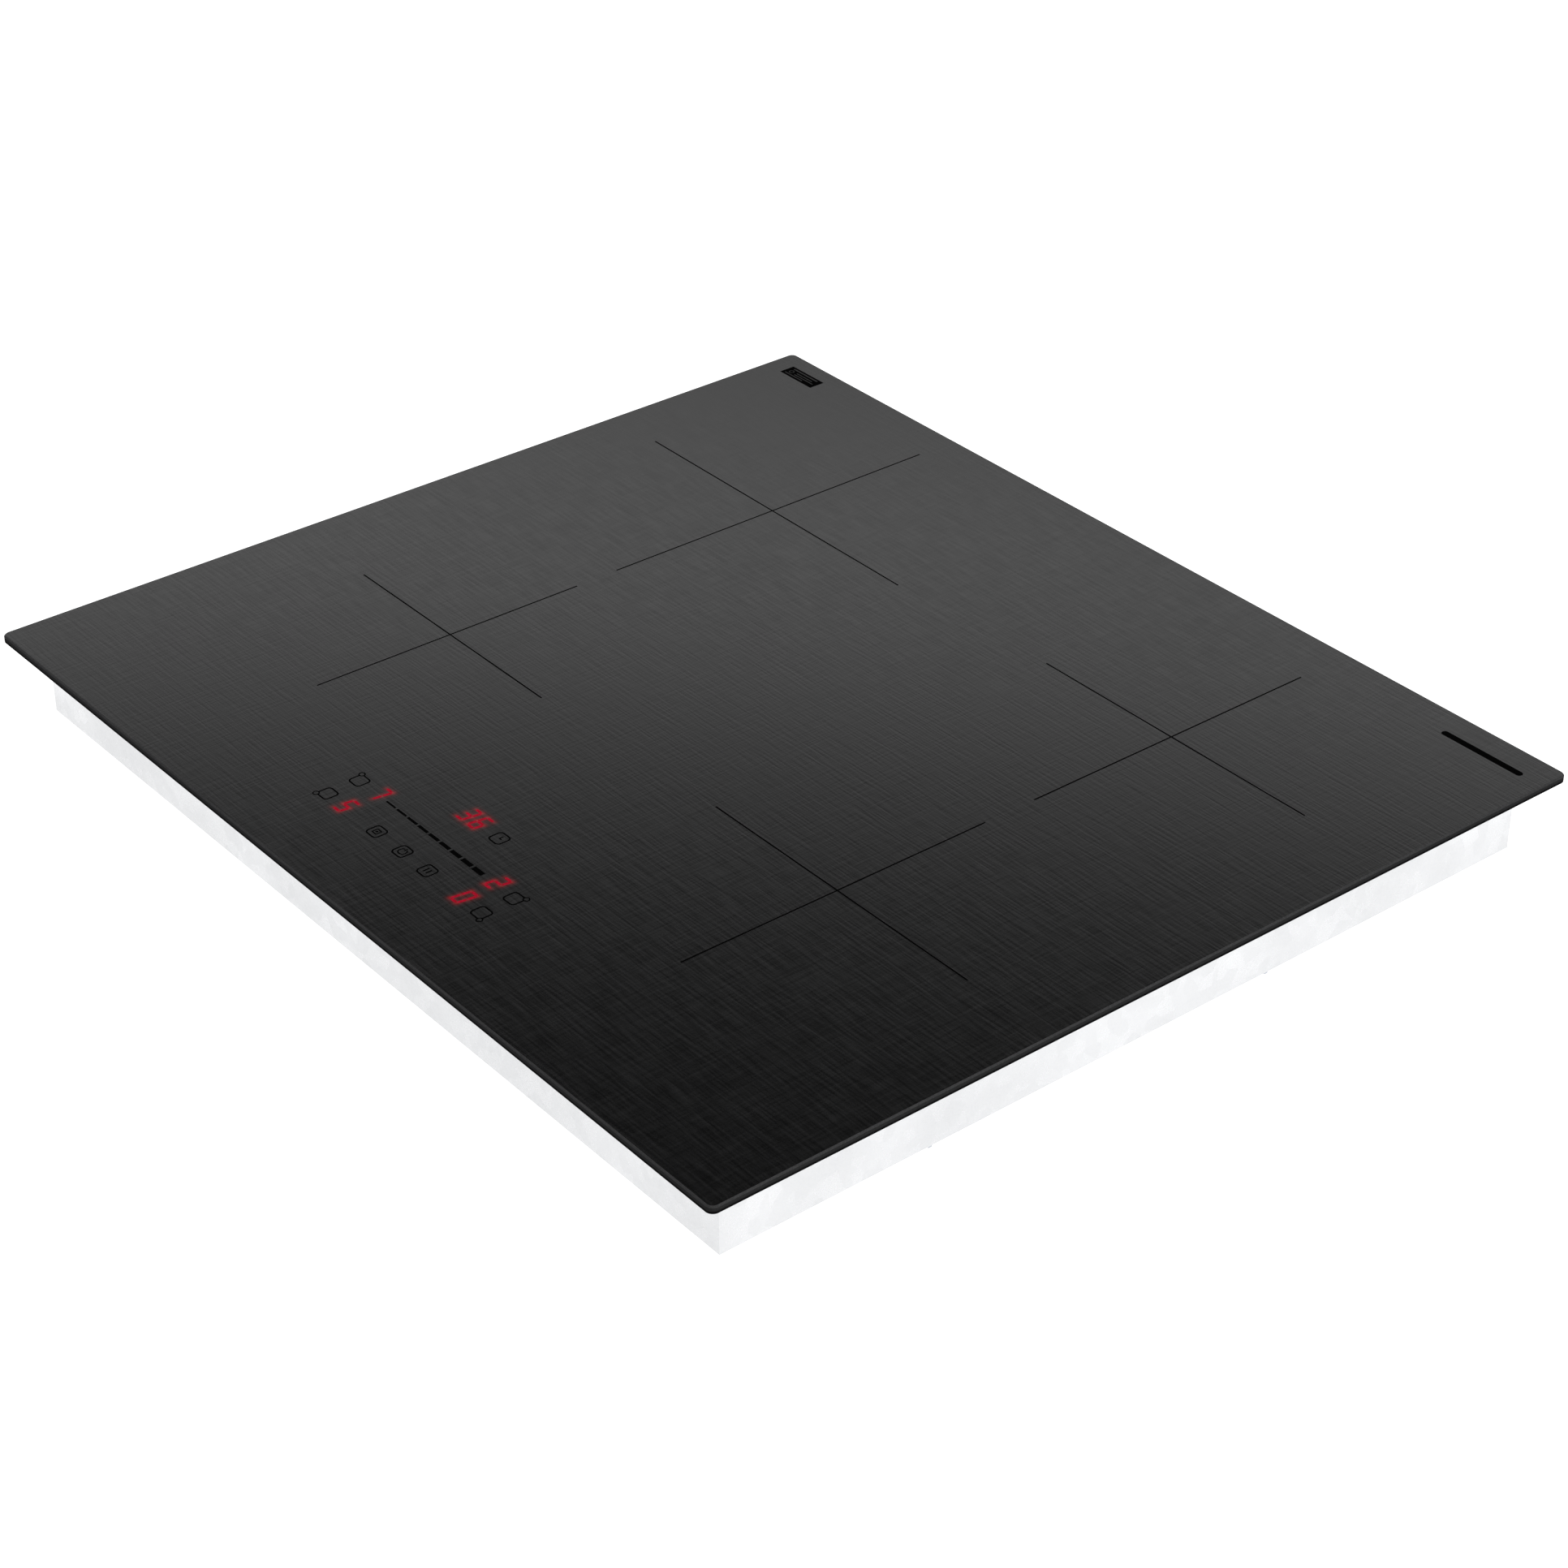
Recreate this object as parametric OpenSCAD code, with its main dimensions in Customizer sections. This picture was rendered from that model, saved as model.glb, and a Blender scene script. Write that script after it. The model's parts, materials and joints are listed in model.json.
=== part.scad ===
// Built-in induction hob with four cooking zones, made as an assembly.
// Origin: centre of the worktop seat, on the underside of the foam seal. The front edge, with the
// touch controls, faces -Y. Everything below z = 0 hangs inside the worktop's cut-out.

/* [Glass plate] */
// Width of the glass, left to right
glass_w = 590; // [585:1:600]
// Depth of the glass, front to back
glass_d = 520; // [515:1:530]
// Thickness of the glass
glass_t = 4; // [4:1:6]
// Corner radius of the glass
glass_r = 4; // [2:1:12]
// Size of the ground arris along the upper edge
arris = 0.8; // [0.4:0.1:1.2]

/* [Worktop seat] */
// Height of the foam seal between the glass and the worktop
seal_h = 2; // [2:0.5:3]
// Width of the foam seal
seal_w = 6; // [4:1:8]
// How far the glass reaches past the casing on each side
overhang = 17; // [15:1:19]

/* [Casing] */
// Depth of the casing's walls below the worktop's surface, which is the worktop's thickness
wall_depth = 38; // [38:1:42]
// Depth of the bottom cover's pan below the walls
pan_depth = 14; // [13:1:16]
// Thickness of the casing's sheet steel
sheet = 1; // [0.8:0.1:1.2]

/* [Cooking zones] */
// Distance of the zone centres from the middle
zone_x = 151; // [148:1:153]
// Diameter of the back left zone
zone_back_left = 210; // [190:5:215]
// Diameter of the front left zone
zone_front_left = 160; // [145:5:170]
// Diameter of the back right zone
zone_back_right = 180; // [160:5:200]
// Diameter of the front right zone
zone_front_right = 180; // [160:5:180]

/* [Cable inlet] */
// Bore of the cable grommet
cable_bore = 13; // [10:0.5:14]

/* [Hidden] */
$fn = 48;

// Casing outline and heights
casing_w = glass_w - 2 * overhang;
casing_d = glass_d - 2 * overhang;
bead_h = 1;
wall_top = seal_h - bead_h;
wall_h = wall_top + wall_depth;
casing_base = -wall_depth - pan_depth;
top_flange = 10;
ledge = 34;
back_ledge = 83;

// Bottom cover: a pan whose flange lies under the ledges
cover_lap = 10;
cover_w = casing_w - 2 * (ledge - cover_lap);
cover_front = -casing_d / 2 + ledge - cover_lap;
cover_back = casing_d / 2 - back_ledge;
cover_d = cover_back - cover_front;
cover_y = (cover_back + cover_front) / 2;
pan_floor = casing_base + sheet;
cover_screw_r = 1.7;
cover_hole_r = cover_screw_r + 0.1;
cover_screw_places = [
    for (sx = [-1, 1], y = [-180, 60]) [sx * (cover_w - cover_lap) / 2, y],
    for (x = [-110, 110], y = [cover_front + cover_lap / 2, cover_back - cover_lap / 2]) [x, y]
];

// Swivel clamps
clamp_inset = 12;
clamp_x = casing_w / 2 - clamp_inset;
clamp_front_y = -150;
clamp_back_y = 110;
clamp_w = 14;
clamp_t = 2;
clamp_gap = 0.1;
clamp_reach = 28;
clamp_tab = 4;
clamp_shank_r = 2;
clamp_places = [for (sx = [-1, 1], y = [clamp_front_y, clamp_back_y]) [sx * clamp_x, y]];

// Terminal box at the back left
terminal_x = -195;
terminal_y = 190;
terminal_gap_w = 56;
terminal_gap_d = 34;
terminal_ways = 6;
terminal_pitch = 10;
terminal_h = 14;
terminal_d = 22;
terminal_z = -wall_depth + sheet;
terminal_screw_r = 1.6;
terminal_screw_l = 4;
lid_w = 76;
lid_d = 50;
lid_h = 6;
lid_wall = 1.8;
hinge_y = terminal_y - lid_d / 2;
hinge_z = -wall_depth - 3.2;
hinge_pin_r = 1.5;
hinge_clearance = 0.06;
hinge_ear_t = 2;
grommet_z = -22;
grommet_seat_r = cable_bore / 2 + 3;

// Coil units: centre and diameter of each zone
back_left = [-zone_x, 129];
front_left = [-zone_x, -82];
back_right = [zone_x, 135.5];
front_right = [zone_x, -75.5];
zones = [
    [back_left, zone_back_left], [front_left, zone_front_left],
    [back_right, zone_back_right], [front_right, zone_front_right]
];
mica_t = 0.6;
litz_r = 1.9;
litz_pitch = 3.6;
hub_r = 18;
former_t = 1.6;
ferrite_t = 5;
ferrite_w = 12;
coil_margin = 7;
mica_z = seal_h - mica_t;
litz_z = mica_z - litz_r;
former_z = mica_z - 2 * litz_r - former_t;
sensor_flange_z = former_z + 1;
coil_plate_t = 1.5;
coil_plate_z = -15;
spring_d = 9;
spring_wire = 1.2;

// Power electronics
board_t = 1.6;
board_x0 = 30;
board_x1 = 235;
board_y0 = -150;
board_y1 = 45;
board_z = pan_floor + 10;
board_top = board_z + board_t;
heatsink_x = 57;
heatsink_w = 42;
heatsink_y0 = -140;
heatsink_l = 180;
heatsink_h = 21;
filter_x0 = -146;
filter_w = 124;
filter_y0 = 168;
filter_d = 62;
filter_board_z = -wall_depth + sheet + 5;

// Fans
fan_x = 62;
fan_y = 98;
fan_size = 96;
fan_h = 26;
fan_bore_r = 42;
fan_z = pan_floor;
fan_roof = 2;
bearing_h = 3;
rotor_r = 37;
shaft_r = 2;
shaft_clearance = 0.05;

// Controls
control_w = 160;
control_d = 70;
control_y = -191;
control_z = -12.5;
control_h = 13;
control_board_lift = 6.5;
control_board_z = control_z + control_board_lift;
display_size = [14, 13, 6];
zone_key_x = 64;
zone_key_back_y = -194;
zone_key_front_y = -212;
timer_y = -170;
slider_pitch = 9;
displays = [[-48, -193], [-48, -211], [49, -193], [49, -211], [-1.5, timer_y]];
touch_pads = [
    [-zone_key_x, zone_key_back_y], [-zone_key_x, zone_key_front_y],
    [zone_key_x, zone_key_back_y], [zone_key_x, zone_key_front_y],
    [-21, zone_key_front_y], [0, zone_key_front_y], [21, zone_key_front_y], [20, timer_y]
];

// ---- shared shapes ----

// Rectangle about the origin with true arcs at its corners
module rounded_rect(w, d, r) {
    square([w - 2 * r, d], center = true);
    square([w, d - 2 * r], center = true);
    for (sx = [-1, 1], sy = [-1, 1])
        translate([sx * (w / 2 - r), sy * (d / 2 - r)])
            circle(r);
}

module rounded_ring(w, d, r, band) {
    difference() {
        rounded_rect(w, d, r);
        rounded_rect(w - 2 * band, d - 2 * band, max(r - band, 1));
    }
}

// Box given by its low corner and size
module block(at, size) {
    translate(at)
        cube(size);
}

// Straight bar along X whose two long upper edges are bevelled by c
module bevelled_bar(length, width, c) {
    rotate([90, 0, 90])
        translate([0, 0, -length / 2])
            linear_extrude(length)
                polygon([[-width / 2, 0], [width / 2, 0], [width / 2 - c, c], [c - width / 2, c]]);
}

// One ring of points round a wire of a spring, at the angle turn about the spring's axis
function ring_points(centre, turn, wire_r, sides) = [
    for (k = [0:sides - 1])
        let (a = 360 * k / sides)
            centre + wire_r * [cos(a) * cos(turn), cos(a) * sin(turn), sin(a)]
];

// Compression spring: a tube of wire wound about Z, standing on z = 0
module wound_spring(d, height, turns, wire) {
    sides = 6;
    steps = turns * 12;
    rise = height - wire;
    points = [
        for (i = [0:steps])
            let (turn = 30 * i)
                each ring_points([d / 2 * cos(turn), d / 2 * sin(turn), wire / 2 + rise * i / steps],
                    turn, wire / 2, sides)
    ];
    start_cap = [[for (k = [0:sides - 1]) k]];
    end_cap = [[for (k = [sides - 1:-1:0]) steps * sides + k]];
    skin = [
        for (i = [0:steps - 1], k = [0:sides - 1])
            let (a = i * sides + k, b = i * sides + (k + 1) % sides)
                each [[a, a + sides, b], [b, a + sides, b + sides]]
    ];
    polyhedron(points, concat(start_cap, skin, end_cap));
}

// Copies a child to the right (side 1) or mirrored to the left (side -1)
module on_side(side) {
    mirror([side < 0 ? 1 : 0, 0, 0])
        children();
}

// ---- glass and seat ----

module glass_plate() {
    color([0.06, 0.06, 0.065])
        translate([0, 0, seal_h]) {
            linear_extrude(glass_t - arris)
                rounded_rect(glass_w, glass_d, glass_r);
            translate([0, 0, glass_t - arris]) {
                bevelled_bar(glass_w - 2 * glass_r, glass_d, arris);
                rotate(90)
                    bevelled_bar(glass_d - 2 * glass_r, glass_w, arris);
                for (sx = [-1, 1], sy = [-1, 1])
                    translate([sx * (glass_w / 2 - glass_r), sy * (glass_d / 2 - glass_r), 0])
                        cylinder(h = arris, r1 = glass_r, r2 = glass_r - arris);
            }
        }
}

module worktop_seal() {
    seal_inset = 3;
    color([0.12, 0.12, 0.12])
        linear_extrude(seal_h)
            rounded_ring(glass_w - 2 * seal_inset, glass_d - 2 * seal_inset, glass_r, seal_w);
}

module glass_bond_bead() {
    bead_inset = 2;
    bead_w = 6;
    color([0.25, 0.25, 0.26])
        translate([0, 0, wall_top])
            linear_extrude(bead_h)
                rounded_ring(casing_w - 2 * bead_inset, casing_d - 2 * bead_inset, 2, bead_w);
}

// ---- casing ----

// Front or back wall with its outer face at y = 0. Its folds at the top and bottom fit between
// the side walls.
module folded_wall(bottom_fold) {
    block([-casing_w / 2, 0, -wall_depth], [casing_w, sheet, wall_h]);
    translate([sheet - casing_w / 2, 0, 0]) {
        block([0, 0, wall_top - sheet], [casing_w - 2 * sheet, top_flange, sheet]);
        block([0, 0, -wall_depth], [casing_w - 2 * sheet, bottom_fold, sheet]);
    }
}

module front_wall() {
    color("gainsboro")
        difference() {
            translate([0, -casing_d / 2, 0])
                folded_wall(ledge);
            for (p = cover_screw_places)
                translate([p[0], p[1], -wall_depth - sheet])
                    cylinder(h = 3 * sheet, r = cover_hole_r);
        }
}

// Three groups of upright ventilation slots to the right of the cable inlet
module back_slots() {
    slot = [3, 3 * sheet, 20];
    slot_z = -33;
    slot_pitch = 8;
    group_slots = 12;
    for (group_x = [-70, 60, 190], i = [0:group_slots - 1])
        block([group_x + (i - group_slots / 2) * slot_pitch, casing_d / 2 - 2 * sheet, slot_z], slot);
}

module back_wall() {
    color("gainsboro") {
        difference() {
            translate([0, casing_d / 2, 0])
                rotate(180)
                    folded_wall(back_ledge);
            block([terminal_x - terminal_gap_w / 2, terminal_y - terminal_gap_d / 2, -wall_depth - sheet],
                [terminal_gap_w, terminal_gap_d, 3 * sheet]);
            back_slots();
            translate([terminal_x, casing_d / 2 - 2 * sheet, grommet_z])
                rotate([-90, 0, 0])
                    cylinder(h = 3 * sheet, r = grommet_seat_r + 0.1);
            for (p = cover_screw_places)
                translate([p[0], p[1], -wall_depth - sheet])
                    cylinder(h = 3 * sheet, r = cover_hole_r);
        }
        for (side = [-1, 1])
            translate([terminal_x + side * (lid_w / 2 + 1 + hinge_ear_t / 2), hinge_y, 0])
                hinge_ear();
    }
}

// Lug folded down from the ledge that holds one end of the lid's hinge pin
module hinge_ear() {
    ear_r = 3;
    difference() {
        union() {
            block([-hinge_ear_t / 2, -ear_r, hinge_z], [hinge_ear_t, 2 * ear_r, -wall_depth - hinge_z]);
            translate([-hinge_ear_t / 2, 0, hinge_z])
                rotate([0, 90, 0])
                    cylinder(h = hinge_ear_t, r = ear_r);
        }
        translate([-hinge_ear_t, 0, hinge_z])
            rotate([0, 90, 0])
                cylinder(h = 2 * hinge_ear_t, r = hinge_pin_r);
    }
}

// Side wall, folded inwards between the front and back walls' folds
module side_wall(side) {
    y0 = -casing_d / 2;
    color("gainsboro")
        difference() {
            on_side(side) {
                block([casing_w / 2 - sheet, y0 + sheet, -wall_depth],
                    [sheet, casing_d - 2 * sheet, wall_h]);
                block([casing_w / 2 - top_flange, y0 + top_flange, wall_top - sheet],
                    [top_flange, casing_d - 2 * top_flange, sheet]);
                block([casing_w / 2 - ledge, y0 + ledge, -wall_depth],
                    [ledge, casing_d - ledge - back_ledge, sheet]);
            }
            for (p = concat(cover_screw_places, clamp_places))
                translate([p[0], p[1], -wall_depth - sheet])
                    cylinder(h = 3 * sheet, r = clamp_shank_r + 0.1);
        }
}

module left_wall() {
    side_wall(-1);
}

module right_wall() {
    side_wall(1);
}

// Round grille of straight slots, cut through the pan's floor
module round_grille(radius) {
    slot_w = 4;
    pitch = 8;
    rows = floor((radius - slot_w) / pitch);
    for (i = [-rows:rows]) {
        half_chord = sqrt(radius * radius - pow(abs(i) * pitch + slot_w / 2, 2));
        block([-half_chord, i * pitch - slot_w / 2, casing_base - sheet],
            [2 * half_chord, slot_w, 3 * sheet]);
    }
}

module bottom_cover() {
    corner_r = 14;
    exhaust_slot = [16, 4, 3 * sheet];
    color("silver")
        difference() {
            translate([0, cover_y, 0]) {
                translate([0, 0, casing_base])
                    linear_extrude(sheet)
                        rounded_rect(cover_w - 2 * cover_lap, cover_d - 2 * cover_lap, corner_r);
                translate([0, 0, casing_base])
                    linear_extrude(pan_depth)
                        rounded_ring(cover_w - 2 * cover_lap, cover_d - 2 * cover_lap, corner_r, sheet);
                translate([0, 0, -wall_depth - sheet])
                    linear_extrude(sheet)
                        rounded_ring(cover_w, cover_d, corner_r, cover_lap + sheet / 2);
            }
            for (side = [-1, 1])
                translate([side * fan_x, fan_y, 0])
                    round_grille(fan_bore_r - 6);
            for (i = [-8:8], row = [0:1])
                block([i * 24 - 8, cover_front + 24 + row * 9, casing_base - sheet], exhaust_slot);
            for (p = cover_screw_places)
                translate([p[0], p[1], -wall_depth - 2 * sheet])
                    cylinder(h = 3 * sheet, r = cover_hole_r);
        }
}

module cover_screws() {
    color("lightgray")
        for (p = cover_screw_places)
            translate([p[0], p[1], -wall_depth - sheet])
                pan_screw(cover_screw_r, 7, 3.5, 2);
}

// Screw pointing up from z = 0, its head hanging below, with a slot for the driver
module pan_screw(shank_r, length, head_r, head_h) {
    cylinder(h = length, r = shank_r);
    difference() {
        translate([0, 0, -head_h])
            cylinder(h = head_h, r = head_r);
        block([-head_r, -0.5, -head_h - 0.5], [2 * head_r, 1, 1.3]);
    }
}

// ---- clamps ----

// Flat clamp with a turned-down tab, lying under the side wall's fold. It turns outwards about its
// screw to reach under the worktop. Its arm points to the back (toward 1) or the front (toward -1).
module clamp(side, y, toward) {
    color("lightsteelblue")
        translate([side * clamp_x, y, -wall_depth - clamp_gap - clamp_t])
            rotate(toward * 90) {
                linear_extrude(clamp_t)
                    difference() {
                        union() {
                            circle(clamp_w / 2);
                            translate([0, -clamp_w / 2])
                                square([clamp_reach, clamp_w]);
                        }
                        circle(clamp_shank_r + 0.06);
                    }
                block([clamp_reach - clamp_t, -clamp_w / 2, -clamp_tab],
                    [clamp_t, clamp_w, clamp_tab + clamp_t]);
            }
}

module clamp_front_left() {
    clamp(-1, clamp_front_y, 1);
}

module clamp_back_left() {
    clamp(-1, clamp_back_y, -1);
}

module clamp_front_right() {
    clamp(1, clamp_front_y, 1);
}

module clamp_back_right() {
    clamp(1, clamp_back_y, -1);
}

module clamp_screws() {
    head_z = -wall_depth - 2 * clamp_gap - clamp_t;
    color("lightgray")
        for (p = clamp_places)
            translate([p[0], p[1], head_z])
                pan_screw(clamp_shank_r, sheet + 6, 4.2, 2.4);
}

module clamp_weld_nuts() {
    color("darkgray")
        for (p = clamp_places)
            translate([p[0], p[1], -wall_depth + sheet])
                difference() {
                    cylinder(h = 3.2, r = 4.2, $fn = 6);
                    translate([0, 0, -1])
                        cylinder(h = 6, r = clamp_shank_r);
                }
}

// ---- cable inlet and terminal box ----

module cable_grommet() {
    inner_len = 5;
    outer_len = 1.6;
    flange_r = grommet_seat_r + 3;
    color([0.15, 0.15, 0.15])
        translate([terminal_x, casing_d / 2, grommet_z])
            rotate([-90, 0, 0])
                difference() {
                    union() {
                        translate([0, 0, -sheet - inner_len])
                            cylinder(h = inner_len + sheet + outer_len, r = grommet_seat_r);
                        cylinder(h = outer_len, r = flange_r);
                        translate([0, 0, -sheet - 2])
                            cylinder(h = 2, r = flange_r);
                    }
                    translate([0, 0, -20])
                        cylinder(h = 40, r = cable_bore / 2);
                }
}

// Places of the terminal screws, in a row along X
function terminal_place(i) = [terminal_x + (i - (terminal_ways - 1) / 2) * terminal_pitch, terminal_y];

module terminal_block() {
    body_w = terminal_gap_w + 20;
    color("ivory")
        difference() {
            block([terminal_x - body_w / 2, terminal_y - terminal_d / 2, terminal_z],
                [body_w, terminal_d, terminal_h]);
            block([terminal_x - terminal_gap_w / 2 - 4, terminal_y - terminal_d / 2 - 1, terminal_z - 1],
                [terminal_gap_w + 8, terminal_d + 2, 3]);
            for (i = [0:terminal_ways - 1]) {
                translate([terminal_place(i)[0], terminal_y, terminal_z - 1]) {
                    cylinder(h = 9, r = 3.6);
                    cylinder(h = 7.5 + terminal_screw_l, r = terminal_screw_r + 0.15);
                }
                translate([terminal_place(i)[0], terminal_y + terminal_d, terminal_z + 8])
                    rotate([90, 0, 0])
                        cylinder(h = terminal_d, r = 2.6);
            }
        }
}

module terminal_screws() {
    color("gold")
        for (i = [0:terminal_ways - 1])
            translate([terminal_place(i)[0], terminal_y, terminal_z + 5.5])
                pan_screw(terminal_screw_r, terminal_screw_l, 3.2, 2);
}

// Shallow plastic lid under the terminals, turning about the pin along its front edge
module terminal_lid() {
    top = -wall_depth - 0.2;
    knuckle_r = 2.6;
    knuckle_l = 12;
    knuckle_x = lid_w / 2 - 8;
    color([0.2, 0.2, 0.22])
        difference() {
            union() {
                translate([terminal_x, terminal_y + 2, top - lid_h])
                    linear_extrude(lid_h)
                        difference() {
                            rounded_rect(lid_w, lid_d - 4, 3);
                            rounded_rect(lid_w - 2 * lid_wall, lid_d - 4 - 2 * lid_wall, 2);
                        }
                translate([terminal_x, terminal_y + 2, top - lid_h])
                    linear_extrude(lid_wall)
                        rounded_rect(lid_w, lid_d - 4, 3);
                for (side = [-1, 1])
                    translate([terminal_x + side * knuckle_x - knuckle_l / 2, hinge_y, hinge_z]) {
                        rotate([0, 90, 0])
                            cylinder(h = knuckle_l, r = knuckle_r);
                        block([0, 0, -knuckle_r], [knuckle_l, 5, 2]);
                    }
            }
            translate([terminal_x - lid_w, hinge_y, hinge_z])
                rotate([0, 90, 0])
                    cylinder(h = 2 * lid_w, r = hinge_pin_r + hinge_clearance);
        }
}

module lid_hinge_pin() {
    length = lid_w + 2 + 2 * hinge_ear_t;
    color("lightgray")
        translate([terminal_x - length / 2, hinge_y, hinge_z])
            rotate([0, 90, 0])
                cylinder(h = length, r = hinge_pin_r);
}

// ---- coil units ----

// Outer radius of the winding of a zone
function coil_r(zone) = zone / 2 - coil_margin;
function ferrite_count(zone) = zone > 185 ? 8 : 6;
// Three places round a zone, between its ferrite bars, where springs carry the former
function spring_places(zone) = [
    for (k = [0:2])
        let (step = 360 / ferrite_count(zone), a = step / 2 + step * round(k * ferrite_count(zone) / 3))
            (coil_r(zone) - 14) * [cos(a), sin(a)]
];

// Stack of concentric turns, each eight-sided in section
module winding(at, zone) {
    turns = floor((coil_r(zone) - hub_r - 2 * litz_r) / litz_pitch) + 1;
    color("peru")
        translate([at[0], at[1], litz_z])
            rotate_extrude()
                for (i = [0:turns - 1])
                    translate([coil_r(zone) - litz_r - i * litz_pitch, 0])
                        circle(litz_r, $fn = 8);
}

module former(at, zone) {
    outer_r = coil_r(zone) + 2;
    count = ferrite_count(zone);
    bore_r = 9;
    color([0.85, 0.84, 0.8])
        translate([at[0], at[1], former_z])
            difference() {
                union() {
                    cylinder(h = former_t, r = outer_r);
                    cylinder(h = former_t + 3, r = bore_r + 2.5);
                    for (p = spring_places(zone))
                        translate([p[0], p[1], -3])
                            cylinder(h = 3, r = spring_d / 2 - spring_wire);
                    for (i = [0:count - 1], edge = [-1, 1])
                        rotate(i * 360 / count)
                            block([hub_r + 6, edge * (ferrite_w / 2 + 0.7) - 0.6, -4],
                                [outer_r - hub_r - 14, 1.2, 4.5]);
                }
                translate([0, 0, -1])
                    cylinder(h = 10, r = bore_r);
            }
}

module ferrites(at, zone) {
    count = ferrite_count(zone);
    color([0.22, 0.21, 0.22])
        translate([at[0], at[1], former_z - ferrite_t])
            for (i = [0:count - 1])
                rotate(i * 360 / count)
                    block([hub_r + 6, -ferrite_w / 2, 0], [coil_r(zone) - hub_r - 12, ferrite_w, ferrite_t]);
}

module mica(at, zone) {
    color("khaki")
        translate([at[0], at[1], mica_z])
            difference() {
                cylinder(h = mica_t, r = coil_r(zone) + 1);
                translate([0, 0, -1])
                    cylinder(h = 3, r = 8);
            }
}

// Temperature probe, pressed up against the glass by its own spring
module sensor(at) {
    color("whitesmoke")
        translate([at[0], at[1], 0]) {
            translate([0, 0, seal_h - 3])
                cylinder(h = 3, r = 5);
            translate([0, 0, sensor_flange_z - 8])
                cylinder(h = seal_h - 3 - sensor_flange_z + 8, r = 2.4);
            translate([0, 0, sensor_flange_z])
                cylinder(h = 1.5, r = 6);
        }
}

module winding_back_left() {
    winding(back_left, zone_back_left);
}

module winding_front_left() {
    winding(front_left, zone_front_left);
}

module winding_back_right() {
    winding(back_right, zone_back_right);
}

module winding_front_right() {
    winding(front_right, zone_front_right);
}

module former_back_left() {
    former(back_left, zone_back_left);
}

module former_front_left() {
    former(front_left, zone_front_left);
}

module former_back_right() {
    former(back_right, zone_back_right);
}

module former_front_right() {
    former(front_right, zone_front_right);
}

module ferrites_back_left() {
    ferrites(back_left, zone_back_left);
}

module ferrites_front_left() {
    ferrites(front_left, zone_front_left);
}

module ferrites_back_right() {
    ferrites(back_right, zone_back_right);
}

module ferrites_front_right() {
    ferrites(front_right, zone_front_right);
}

module mica_back_left() {
    mica(back_left, zone_back_left);
}

module mica_front_left() {
    mica(front_left, zone_front_left);
}

module mica_back_right() {
    mica(back_right, zone_back_right);
}

module mica_front_right() {
    mica(front_right, zone_front_right);
}

module sensor_back_left() {
    sensor(back_left);
}

module sensor_front_left() {
    sensor(front_left);
}

module sensor_back_right() {
    sensor(back_right);
}

module sensor_front_right() {
    sensor(front_right);
}

module coil_springs() {
    top_of_plate = coil_plate_z + coil_plate_t;
    color("silver")
        for (zone = zones, p = spring_places(zone[1]))
            translate([zone[0][0] + p[0], zone[0][1] + p[1], top_of_plate])
                wound_spring(spring_d, former_z - top_of_plate, 3, spring_wire);
}

module sensor_springs() {
    top_of_plate = coil_plate_z + coil_plate_t;
    color("silver")
        for (zone = zones)
            translate([zone[0][0], zone[0][1], top_of_plate])
                wound_spring(8, sensor_flange_z - top_of_plate, 4, 0.8);
}

// Aluminium plate that carries one side's two coil units, on folded legs
module coil_plate(side) {
    x0 = 6;
    x1 = casing_w / 2 - 8;
    y0 = -168;
    y1 = 234;
    leg_w = 20;
    foot = 12;
    outer_legs_y = [-110, 30, 190];
    ledge_top = -wall_depth + sheet;
    color("gainsboro")
        difference() {
            on_side(side) {
                block([x0, y0, coil_plate_z], [x1 - x0, y1 - y0, coil_plate_t]);
                for (y = outer_legs_y) {
                    block([x1 - coil_plate_t, y, ledge_top],
                        [coil_plate_t, leg_w, coil_plate_z - ledge_top + 1]);
                    block([x1 - foot, y, ledge_top], [foot, leg_w, coil_plate_t]);
                }
                for (inner = [[y0, pan_floor], [y1 - leg_w, ledge_top]]) {
                    block([x0, inner[0], inner[1]], [coil_plate_t, leg_w, coil_plate_z - inner[1] + 1]);
                    block([x0, inner[0], inner[1]], [foot, leg_w, coil_plate_t]);
                }
            }
            for (zone = zones)
                translate([zone[0][0], zone[0][1], coil_plate_z - 1])
                    cylinder(h = 4, r = 3.2);
        }
}

module coil_plate_left() {
    coil_plate(-1);
}

module coil_plate_right() {
    coil_plate(1);
}

// ---- power electronics ----

module power_board(side) {
    color([0.1, 0.35, 0.2])
        on_side(side)
            block([board_x0, board_y0, board_z], [board_x1 - board_x0, board_y1 - board_y0, board_t]);
}

module power_board_left() {
    power_board(-1);
}

module power_board_right() {
    power_board(1);
}

module heatsink(side) {
    base_t = 4;
    fin_t = 1.5;
    fins = 8;
    gap = (heatsink_w - fin_t) / (fins - 1);
    color("silver")
        on_side(side)
            translate([heatsink_x - heatsink_w / 2, heatsink_y0, board_top]) {
                cube([heatsink_w, heatsink_l, base_t]);
                for (i = [0:fins - 1])
                    block([i * gap, 0, 0], [fin_t, heatsink_l, heatsink_h]);
            }
}

module heatsink_left() {
    heatsink(-1);
}

module heatsink_right() {
    heatsink(1);
}

// Flat power package on two legs, standing against the heatsink's outer fin
module power_device(y, width) {
    x = heatsink_x + heatsink_w / 2;
    block([x, y, board_top + 3], [5, width, 16]);
    for (k = [0:2])
        block([x + 1.5, y + width * (k + 1) / 4 - 0.6, board_top], [1.2, 1.2, 4]);
}

module power_devices() {
    color([0.13, 0.13, 0.14])
        for (side = [-1, 1])
            on_side(side) {
                for (y = [-130, -105, -70, -45])
                    power_device(y, 16);
                power_device(-10, 30);
            }
}

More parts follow.
